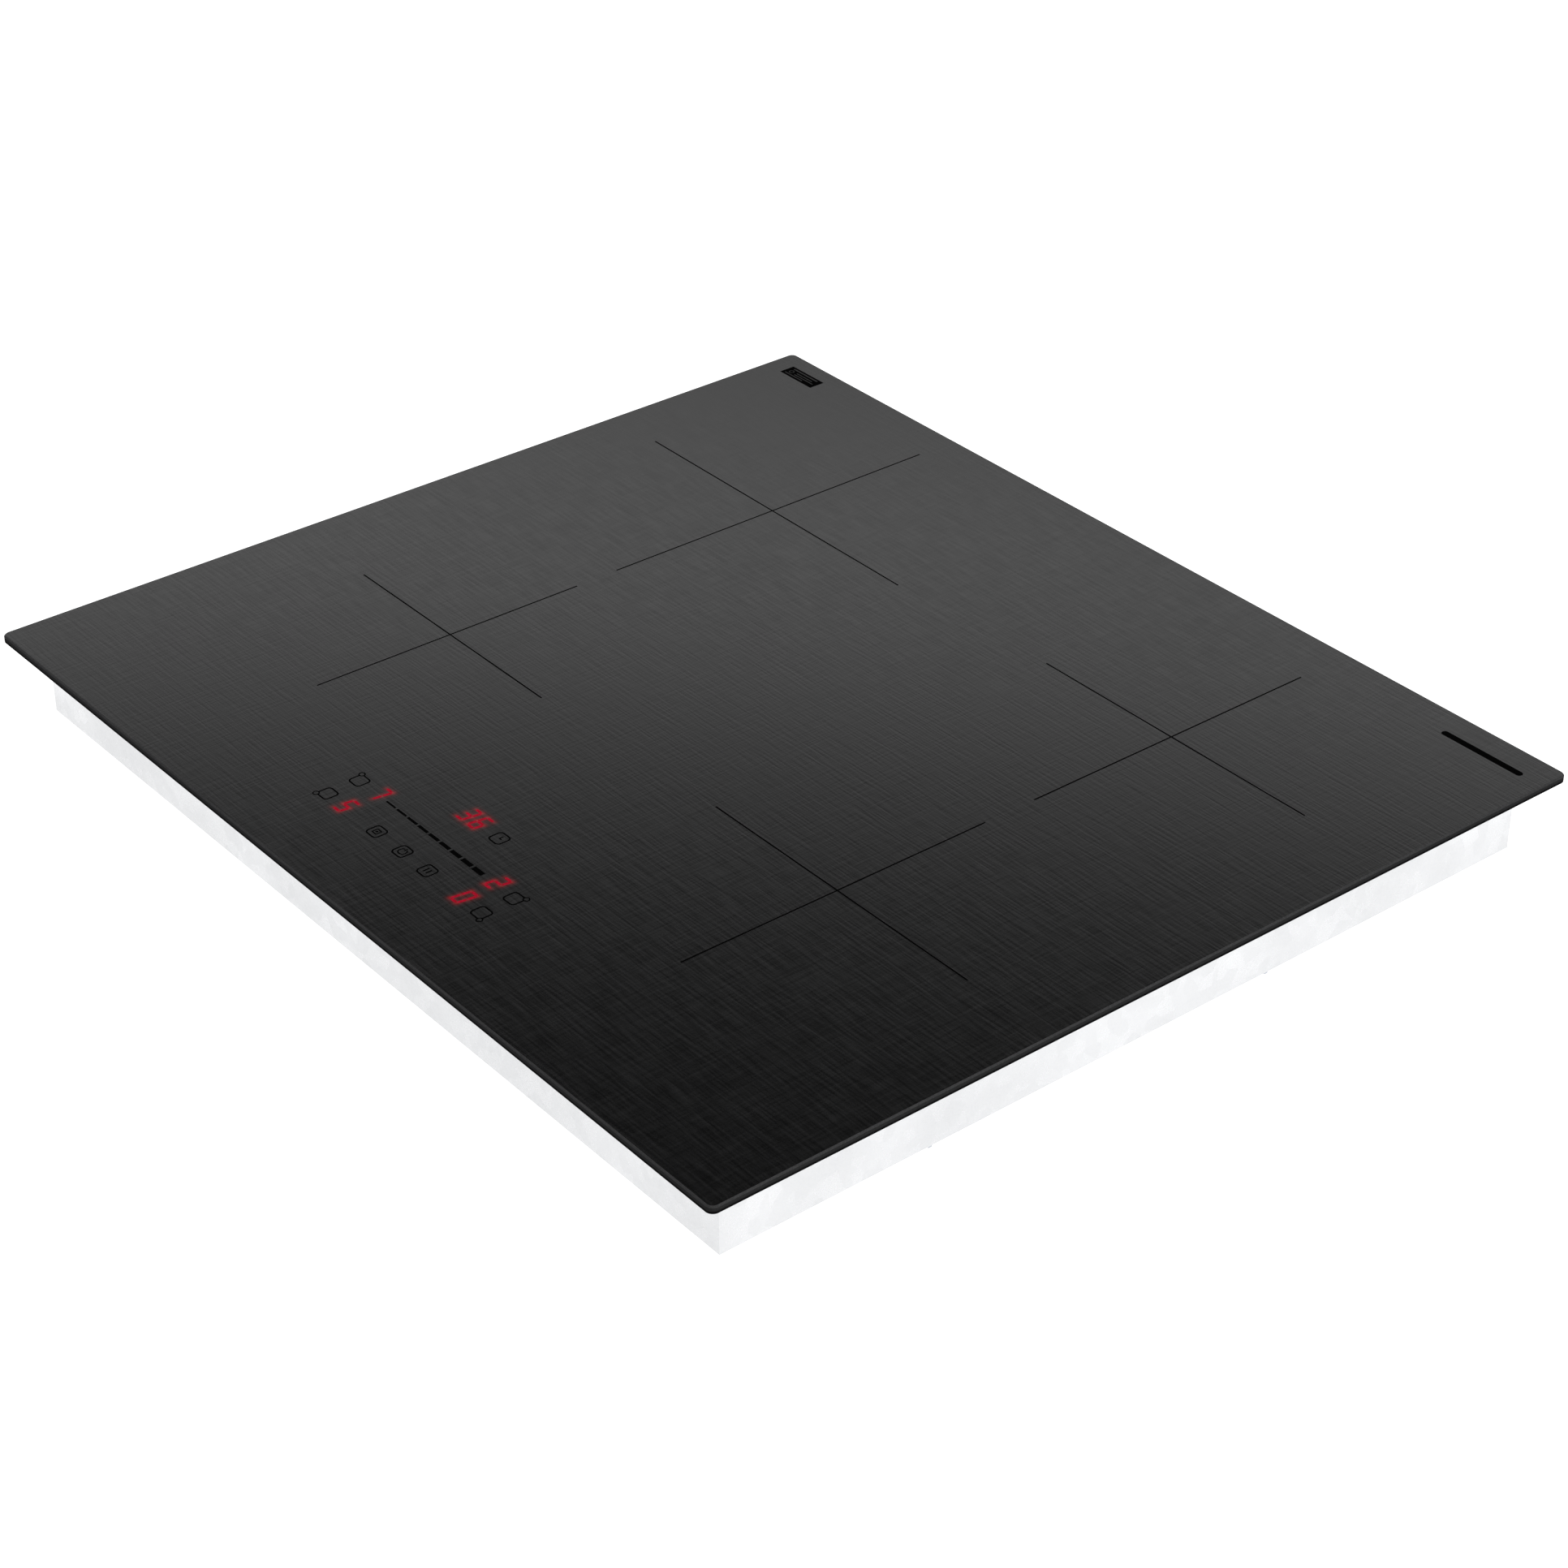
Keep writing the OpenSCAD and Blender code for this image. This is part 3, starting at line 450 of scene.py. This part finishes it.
def printed_ink(name, colour, rough=0.85):
    """Fired enamel print: a little uneven in tone and gloss."""
    material, tree, shader = new_material(name)
    speck = noise(tree, 1800.0, 2.0)
    tree.links.new(mixed(tree, remap(tree, speck, 0.0, 1.0), shade(colour, 0.6), shade(colour, 1.4)),
                   shader.inputs["Base Color"])
    tree.links.new(remap(tree, speck, rough - 0.08, rough + 0.08), shader.inputs["Roughness"])
    shader.inputs["Specular IOR Level"].default_value = 0.0
    bump(tree, shader, speck, 0.000008)
    return material


SEGMENT_DIM = (0.20, 0.003, 0.010)
SEGMENT_BRIGHT = (0.32, 0.007, 0.024)


def lit_segment(name):
    """Red display segment seen through the glass, a little uneven in its light."""
    material, tree, shader = new_material(name)
    speck = noise(tree, 900.0, 2.0)
    shader.inputs["Base Color"].default_value = (0.05, 0.002, 0.003, 1.0)
    tree.links.new(remap(tree, speck, 0.25, 0.4), shader.inputs["Roughness"])
    tree.links.new(mixed(tree, remap(tree, speck, 0.0, 1.0), SEGMENT_DIM, SEGMENT_BRIGHT),
                   shader.inputs["Emission Color"])
    shader.inputs["Emission Strength"].default_value = 1.0
    shader.inputs["Specular IOR Level"].default_value = 0.0
    return material


# ---- meshes ----

def link_piece(name, bm, materials, body="hob"):
    mesh = bpy.data.meshes.new(name)
    bmesh.ops.recalc_face_normals(bm, faces=bm.faces)
    bm.to_mesh(mesh)
    bm.free()
    for m in materials:
        mesh.materials.append(m)
    piece = bpy.data.objects.new(name, mesh)
    bpy.context.scene.collection.objects.link(piece)
    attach(piece, body)
    return piece


def rounded_outline(half_w, half_d, radius, steps, centre=(0.0, 0.0)):
    """Points round a rectangle with round corners, counterclockwise from the right-hand side."""
    points = []
    for k, (sx, sy) in enumerate(((1, 1), (-1, 1), (-1, -1), (1, -1))):
        cx, cy = centre[0] + sx * (half_w - radius), centre[1] + sy * (half_d - radius)
        for i in range(steps + 1):
            a = math.pi / 2 * (k + i / steps)
            points.append((cx + radius * math.cos(a), cy + radius * math.sin(a)))
    return points


GLASS_CORNER = 4.0 * MM
ARRIS = 0.8 * MM
LOWER_ARRIS = 0.4 * MM
CORNER_STEPS = 20
ARRIS_STEPS = 5
# Share of the upper arris's profile that is a flat bevel, not an arc
ARRIS_FLAT = 0.75


def make_glass():
    """The plate as one closed skin: a softly rounded ground arris above and a smaller one below."""
    low, top = GLASS_LOW.z, GLASS_HIGH.z
    profile = [(LOWER_ARRIS * 2, low), (LOWER_ARRIS, low)]
    for i in range(1, ARRIS_STEPS + 1):
        a = math.pi / 2 * i / ARRIS_STEPS
        profile.append((LOWER_ARRIS * (1 - math.sin(a)), low + LOWER_ARRIS * (1 - math.cos(a))))
    profile.append((0.0, top - ARRIS))
    for i in range(1, ARRIS_STEPS + 1):
        a = math.pi / 2 * i / ARRIS_STEPS
        arc = (ARRIS * (1 - math.cos(a)), top - ARRIS * (1 - math.sin(a)))
        flat = (ARRIS * i / ARRIS_STEPS, top - ARRIS * (1 - i / ARRIS_STEPS))
        profile.append(tuple(ARRIS_FLAT * f + (1 - ARRIS_FLAT) * c for f, c in zip(flat, arc)))
    bm = bmesh.new()
    rings = []
    for inset, z in profile:
        outline = rounded_outline(HALF_W - inset, HALF_D - inset, GLASS_CORNER - inset, CORNER_STEPS)
        rings.append([bm.verts.new((x, y, z)) for x, y in outline])
    count = len(rings[0])
    for lower, upper in zip(rings, rings[1:]):
        for i in range(count):
            j = (i + 1) % count
            face = bm.faces.new((lower[i], lower[j], upper[j], upper[i]))
            face.material_index = 1
            face.smooth = True
    bm.faces.new(rings[-1]).material_index = 0
    bm.faces.new(list(reversed(rings[0]))).material_index = 2
    under = plastic("glass_underside", (0.02, 0.02, 0.021), 0.35, 1800.0, 0.00002)
    materials = [matt_glass("matt_black_glass"), ground_edge("ground_rim"), under]
    plate = link_piece("glass_top", bm, materials)
    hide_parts("glass_plate")


# ---- printed marks and displays, in millimetres on the plate ----

# Depth below the glass's face at which marks start, and their heights above it
PRINT_SINK = 0.01 * MM
PRINT_RISE = 0.02 * MM
RULE_RISE = 0.03 * MM
SEGMENT_RISE = 0.012 * MM
GLOW_RISE = 0.006 * MM


def prism(bm, outline, rise=PRINT_RISE):
    """Low block of ink on a flat outline."""
    lower = [bm.verts.new((x * MM, y * MM, GLASS_TOP - PRINT_SINK)) for x, y in outline]
    upper = [bm.verts.new((x * MM, y * MM, GLASS_TOP + rise)) for x, y in outline]
    bm.faces.new(upper)
    bm.faces.new(list(reversed(lower)))
    for i in range(len(outline)):
        j = (i + 1) % len(outline)
        bm.faces.new((lower[i], lower[j], upper[j], upper[i]))


def block(bm, x0, x1, y0, y1, rise=PRINT_RISE):
    prism(bm, [(x0, y0), (x1, y0), (x1, y1), (x0, y1)], rise)


def stroke(bm, path, width, closed=False, rise=PRINT_RISE):
    """Printed line of even width along a path of points."""
    count = len(path)
    sides = ([], [])
    for i, (x, y) in enumerate(path):
        before = path[i - 1] if closed or i > 0 else path[i]
        after = path[(i + 1) % count] if closed or i < count - 1 else path[i]
        into = Vector((x - before[0], y - before[1]))
        out = Vector((after[0] - x, after[1] - y))
        into = into.normalized() if into.length else out.normalized()
        out = out.normalized() if out.length else into
        along = (into + out).normalized()
        reach = width / 2 / max(0.4, along.dot(into))
        across = Vector((-along.y, along.x)) * reach
        sides[0].append((x + across.x, y + across.y))
        sides[1].append((x - across.x, y - across.y))
    low, high = GLASS_TOP - PRINT_SINK, GLASS_TOP + rise
    rows = []
    for side, z in ((0, high), (1, high), (1, low), (0, low)):
        rows.append([bm.verts.new((x * MM, y * MM, z)) for x, y in sides[side]])
    for i in range(count if closed else count - 1):
        j = (i + 1) % count
        for a, b in zip(rows, rows[1:] + rows[:1]):
            bm.faces.new((a[i], a[j], b[j], b[i]))
    if not closed:
        bm.faces.new([r[0] for r in rows])
        bm.faces.new([r[-1] for r in reversed(rows)])


def circle_path(centre, radius, steps=24, start=0.0, sweep=360.0):
    full = sweep >= 360.0
    return [
        (centre[0] + radius * math.cos(math.radians(start + sweep * i / steps)),
         centre[1] + radius * math.sin(math.radians(start + sweep * i / steps)))
        for i in range(steps if full else steps + 1)
    ]


# Centre and width of each cooking zone's cross
ZONES = {
    "back_left": ((-151.0, 129.0), 210.0),
    "front_left": ((-150.5, -82.0), 160.0),
    "back_right": ((151.5, 135.5), 180.0),
    "front_right": ((151.5, -75.5), 180.0),
}
CROSS_LINE = 0.85


def make_crosses(ink):
    for zone, ((x, y), size) in ZONES.items():
        half, line = size / 2, CROSS_LINE / 2
        quarter = [(half, -line), (half, line), (line, line)]
        outline = []
        for k in range(4):
            c, s = (1, 0, -1, 0)[k], (0, 1, 0, -1)[k]
            outline += [(x + px * c - py * s, y + px * s + py * c) for px, py in quarter]
        bm = bmesh.new()
        prism(bm, outline)
        link_piece("zone_cross_" + zone, bm, [ink])


KEY_LINE = 0.85
KEY_HALF = 4.0
KEY_ROUND = 1.9
KEY_ROW_BACK = -194.0
KEY_ROW_FRONT = -212.0
KEY_RING = 1.5
ICON_LINE = 0.7
PAUSE_LINE = 0.95
FUNCTION_KEY_X = (-21.0, 0.5, 21.0)
TIMER_KEY = (19.7, -170.7)
# Centre of each zone's key, and the corner that stands for the zone
ZONE_KEYS = (
    (-63.2, KEY_ROW_BACK, -1, 1), (-63.2, KEY_ROW_FRONT, -1, -1),
    (64.5, KEY_ROW_BACK, 1, 1), (64.5, KEY_ROW_FRONT, 1, -1),
)


def key_frame(bm, x, y):
    stroke(bm, rounded_outline(KEY_HALF, KEY_HALF, KEY_ROUND, 5, (x, y)), KEY_LINE, closed=True)


def zone_key(bm, x, y, sx, sy):
    """Square with one corner left open for a small ring, the place of the zone."""
    gap = KEY_HALF - KEY_RING
    path = [(gap, KEY_HALF)]
    for k in (1, 2, 3):
        cx, cy = ((-1, 1), (-1, -1), (1, -1))[k - 1]
        for i in range(6):
            a = math.pi / 2 * (k + i / 5)
            path.append((cx * (KEY_HALF - KEY_ROUND) + KEY_ROUND * math.cos(a),
                         cy * (KEY_HALF - KEY_ROUND) + KEY_ROUND * math.sin(a)))
    path.append((KEY_HALF, gap))
    stroke(bm, [(x + sx * px, y + sy * py) for px, py in path], KEY_LINE)
    corner = (x + sx * KEY_HALF, y + sy * KEY_HALF)
    stroke(bm, circle_path(corner, KEY_RING, 16), KEY_LINE * 0.8, closed=True)


def make_keys(ink):
    bm = bmesh.new()
    for key in ZONE_KEYS:
        zone_key(bm, *key)
    link_piece("zone_key_marks", bm, [ink])

    bm = bmesh.new()
    y = KEY_ROW_FRONT
    for x in FUNCTION_KEY_X:
        key_frame(bm, x, y)
    square_x, switch_x, pause_x = FUNCTION_KEY_X
    stroke(bm, rounded_outline(1.6, 1.6, 0.3, 2, (square_x, y)), ICON_LINE, closed=True)
    block(bm, square_x - 0.6, square_x + 0.6, y - 0.6, y + 0.6)
    stroke(bm, circle_path((switch_x, y), 2.2, 20, 115.0, 310.0), ICON_LINE)
    stroke(bm, [(switch_x, y + 0.7), (switch_x, y + 2.9)], ICON_LINE)
    for x in (pause_x - 1.1, pause_x + 1.1):
        stroke(bm, [(x, y - 1.8), (x, y + 1.8)], PAUSE_LINE)
    link_piece("function_key_marks", bm, [ink])

    bm = bmesh.new()
    x, y = TIMER_KEY
    key_frame(bm, x, y)
    stroke(bm, [(x, y + 2.1), (x, y), (x + 1.6, y)], ICON_LINE)
    link_piece("timer_key_mark", bm, [ink])


SLIDER_X = (-40.0, 41.0)
SLIDER_DASHES = 9
SLIDER_GAP = 1.3
SLIDER_THIN, SLIDER_THICK = 1.1, 2.9


def make_slider(ink):
    bm = bmesh.new()
    pitch = (SLIDER_X[1] - SLIDER_X[0]) / SLIDER_DASHES
    for i in range(SLIDER_DASHES):
        x0 = SLIDER_X[0] + i * pitch
        x1 = x0 + pitch - SLIDER_GAP
        half = (SLIDER_THIN + (SLIDER_THICK - SLIDER_THIN) * i / (SLIDER_DASHES - 1)) / 2
        block(bm, x0, x1, KEY_ROW_BACK - half, KEY_ROW_BACK + half)
    link_piece("slider_marks", bm, [ink])


# Seven segments of a digit, a to g, as pairs of places on a grid one wide and two tall
SEGMENTS = {
    "a": ((0, 2), (1, 2)), "b": ((1, 2), (1, 1)), "c": ((1, 1), (1, 0)), "d": ((0, 0), (1, 0)),
    "e": ((0, 1), (0, 0)), "f": ((0, 2), (0, 1)), "g": ((0, 1), (1, 1)),
}
DIGITS = {"0": "abcdef", "2": "abged", "3": "abgcd", "5": "afgcd", "6": "afgedc", "7": "abc"}
DIGIT_W, DIGIT_H = 5.0, 10.4
DIGIT_SLANT = math.tan(math.radians(9.0))
SEGMENT_W = 1.6
SEGMENT_INSET = 0.18
# Displays by window: numbers with the places of their middles
DISPLAYS = {
    "left": (("7", -47.6, -193.0), ("5", -48.5, -211.0)),
    "right": (("2", 49.5, -192.5), ("0", 49.2, -211.0)),
    "timer": (("36", -1.3, -170.2),),
}
DIGIT_PITCH = 9.6


def digit_lines(text, x, y):
    """Centre lines of the lit segments of a number."""
    lines = []
    for n, digit in enumerate(text):
        cx = x + (n - (len(text) - 1) / 2) * DIGIT_PITCH
        for segment in DIGITS[digit]:
            ends = []
            for gx, gy in SEGMENTS[segment]:
                dy = (gy / 2 - 0.5) * DIGIT_H
                ends.append(Vector((cx + (gx - 0.5) * DIGIT_W + dy * DIGIT_SLANT, y + dy)))
            lines.append(ends)
    return lines


def segment_outline(a, b):
    """Bar with pointed ends between two corners of the digit."""
    along = (b - a).normalized()
    across = Vector((-along.y, along.x)) * SEGMENT_W / 2
    tip = along * SEGMENT_W / 2
    a, b = a + along * SEGMENT_INSET, b - along * SEGMENT_INSET
    points = [a, a + tip - across, b - tip - across, b, b - tip + across, a + tip + across]
    return [(p.x, p.y) for p in points]


def distance_to(point, a, b):
    ab = b - a
    t = max(0.0, min(1.0, (point - a).dot(ab) / ab.length_squared))
    return (point - a - ab * t).length


# The halo round the digits: its window's margin and grid, and how its light falls off
GLOW_MARGIN = 7.0
GLOW_CELL = 0.7
GLOW_FADE_CELLS = 4
GLOW_GAIN = 0.34
GLOW_REACH = 1.15
GLOW_FALLOFF = 1.3


def glow_at(point, lines):
    light = sum(math.exp(-(distance_to(point, a, b) / GLOW_REACH) ** GLOW_FALLOFF) for a, b in lines)
    return min(1.0, GLOW_GAIN * light)


def make_displays():
    """Each display's lit segments, and a patch of glass round them that carries their halo."""
    segment = lit_segment("red_segment")
    glass = matt_glass("matt_black_glass_lit", glow=True)
    for name, texts in DISPLAYS.items():
        lines = [line for text, x, y in texts for line in digit_lines(text, x, y)]
        bm = bmesh.new()
        for a, b in lines:
            prism(bm, segment_outline(a, b), SEGMENT_RISE)
        link_piece("digits_" + name, bm, [segment])

        xs = [p.x for line in lines for p in line]
        ys = [p.y for line in lines for p in line]
        x0, x1 = min(xs) - GLOW_MARGIN, max(xs) + GLOW_MARGIN
        y0, y1 = min(ys) - GLOW_MARGIN, max(ys) + GLOW_MARGIN
        columns = round((x1 - x0) / GLOW_CELL)
        rows = round((y1 - y0) / GLOW_CELL)
        bm = bmesh.new()
        layer = bm.verts.layers.float.new("glow")
        grid = []
        for j in range(rows + 1):
            for i in range(columns + 1):
                point = Vector((x0 + (x1 - x0) * i / columns, y0 + (y1 - y0) * j / rows))
                vert = bm.verts.new((point.x * MM, point.y * MM, GLASS_TOP + GLOW_RISE))
                border = min(i, j, columns - i, rows - j) / GLOW_FADE_CELLS
                vert[layer] = glow_at(point, lines) * min(1.0, border)
                grid.append(vert)
        for j in range(rows):
            for i in range(columns):
                k = j * (columns + 1) + i
                bm.faces.new((grid[k], grid[k + 1], grid[k + columns + 2], grid[k + columns + 1]))
        link_piece("display_window_" + name, bm, [glass])


PANEL_X = (-281.0, -253.5)
PANEL_Y = (239.0, 249.0)
# Rules on the panel: left and right from its left edge, then their lower and upper edge
PANEL_RULES = (
    (3.0, 24.0, 246.6, 247.6), (8.5, 22.0, 244.3, 245.0),
    (8.5, 25.0, 242.4, 243.1), (2.0, 17.5, 240.6, 241.3),
)
PANEL_RING = (-276.4, 243.9)
CORNER_BAR = (256.5, 242.0)


def make_corner_prints(ink, pale_ink):
    """A data panel without any lettering at the back left, and a plain bar at the back right."""
    bm = bmesh.new()
    block(bm, *PANEL_X, *PANEL_Y)
    link_piece("data_panel_mark", bm, [ink])
    bm = bmesh.new()
    for left, right, y0, y1 in PANEL_RULES:
        block(bm, PANEL_X[0] + left, PANEL_X[0] + right, y0, y1, RULE_RISE)
    stroke(bm, circle_path(PANEL_RING, 1.4, 20), 0.45, closed=True, rise=RULE_RISE)
    link_piece("data_panel_rules", bm, [pale_ink])
    bm = bmesh.new()
    prism(bm, rounded_outline(25.5, 2.0, 2.0, 8, CORNER_BAR))
    link_piece("corner_bar_mark", bm, [ink])


# ---- finishes of the carried-over CAD parts, by the record's material slots ----

def dress_cad():
    """Gives each CAD node its slot's finish; the glass plate has none, as a piece replaces it."""
    zinc = dict(rough=0.34, spangle=140.0, grain=(1.0, 1.0, 1.0))
    finishes = {
        "foam_seal": foam("foam_tape", (0.03, 0.03, 0.032)),
        "silicone_bead": plastic("dark_silicone", (0.06, 0.06, 0.062), 0.55, 700.0, 0.00006),
        "casing_steel": metal("zinc_sheet", (0.70, 0.705, 0.715), **zinc),
        "cover_steel": metal("zinc_sheet_cover", (0.64, 0.645, 0.655), **zinc),
        "zinc_steel": metal("plated_steel", (0.60, 0.61, 0.63), 0.3, grain_scale=2200.0),
        "clamp_steel": metal("spring_steel", (0.52, 0.54, 0.58), 0.3, (0.2, 4.0, 1.0), 700.0),
        "grommet_rubber": plastic("black_rubber", (0.02, 0.02, 0.02), 0.7, 1500.0, 0.00005, 0.3),
        "terminal_plastic": plastic("ivory_polyamide", (0.8, 0.78, 0.68), 0.45),
        "terminal_brass": metal("bright_brass", (0.78, 0.58, 0.25), 0.25, grain_scale=2500.0),
        "lid_plastic": plastic("black_polyamide", (0.03, 0.03, 0.032), 0.5),
        "plate_aluminium": metal("mill_aluminium", (0.85, 0.855, 0.86), 0.3, (0.05, 2.0, 1.0), 900.0),
        "litz_copper": stranded("enamelled_litz", (0.72, 0.33, 0.14)),
        "former_plastic": plastic("glass_filled_polyester", (0.7, 0.69, 0.64), 0.5, 1400.0, 0.00006),
        "ferrite": plastic("sintered_ferrite", (0.045, 0.045, 0.05), 0.6, 1100.0, 0.00008),
        "mica_sheet": flaky("pressed_mica", (0.66, 0.56, 0.36)),
        "sensor_ceramic": plastic("white_ceramic", (0.85, 0.85, 0.82), 0.25, 1600.0, 0.00001),
        "circuit_board": circuit("green_board", (0.02, 0.12, 0.05)),
        "heatsink_aluminium": metal("extruded_aluminium", (0.8, 0.81, 0.82), 0.32, (3.0, 0.05, 3.0), 600.0),
        "package_plastic": plastic("black_epoxy", (0.025, 0.025, 0.026), 0.55, 1800.0, 0.00003),
        "capacitor_plastic": plastic("yellow_film_case", (0.72, 0.48, 0.06), 0.3, 900.0, 0.00001, coat=0.4),
        "choke_copper": stranded("enamelled_choke", (0.55, 0.2, 0.07), 0.25),
        "relay_plastic": plastic("blue_relay_case", (0.03, 0.05, 0.2), 0.3, 900.0, 0.00001, coat=0.3),
        "standoff_plastic": plastic("natural_polyamide", (0.82, 0.81, 0.76), 0.45),
        "fan_plastic": plastic("black_polyester", (0.03, 0.03, 0.032), 0.5),
        "rotor_plastic": plastic("natural_polyester", (0.72, 0.71, 0.66), 0.45),
        "carrier_plastic": plastic("black_polycarbonate", (0.03, 0.03, 0.032), 0.4),
    }
    slots = {s["node"]: s["material_slot"] for s in frame["record"]["subparts"]}
    for node, piece in frame["nodes"].items():
        finish = finishes.get(slots[node])
        if finish is None:
            continue
        piece.data.materials.clear()
        piece.data.materials.append(finish)
        for polygon in piece.data.polygons:
            polygon.material_index = 0


make_camera()
make_light()
make_floor()
make_glass()
fine_ink = printed_ink("fine_black_print", (0.0012, 0.0012, 0.0012))
key_ink = printed_ink("key_print", (0.0015, 0.0015, 0.0015))
make_crosses(fine_ink)
make_keys(key_ink)
make_slider(key_ink)
make_displays()
make_corner_prints(key_ink, printed_ink("pale_print", (0.03, 0.03, 0.03)))
dress_cad()
